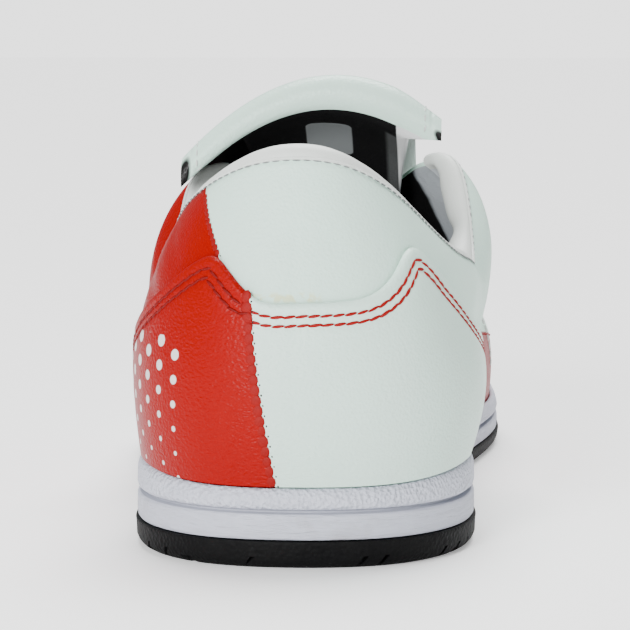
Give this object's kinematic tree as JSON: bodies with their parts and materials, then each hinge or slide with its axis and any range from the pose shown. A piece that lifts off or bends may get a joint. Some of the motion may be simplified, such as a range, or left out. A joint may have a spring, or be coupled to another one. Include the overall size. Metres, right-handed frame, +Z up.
{
  "type": "indoor soccer shoe",
  "caption": "Low indoor soccer shoe for the left foot: cupsole with flat grooved tread, lasted upper, heel counter, padded collar and fold-over tongue.",
  "frame": {"origin": "on the floor, under the middle of the shoe's outline", "axes": "+Y towards the toe, +X towards the inner side of the foot, +Z up"},
  "size_m": [0.0944, 0.2824, 0.1013],
  "materials": {
    "upper": "smooth coated synthetic leather, satin",
    "counter_outer": "smooth coated synthetic leather, satin",
    "counter_rear": "smooth coated synthetic leather, satin",
    "collar_lining": "padded lining with a bound edge",
    "tongue": "padded, folded over, satin outside and textile inside",
    "insole": "textile over foam",
    "midsole": "matte moulded, fine grain",
    "outsole": "matte, pebbled side and grooved underside"
  },
  "bodies": {
    "root": {"upper": "upper", "counter_outer": "counter_outer", "counter_rear": "counter_rear", "collar_lining": "collar_lining", "tongue": "tongue", "insole": "insole", "midsole": "midsole", "outsole": "outsole"}
  },
  "joints": []
}
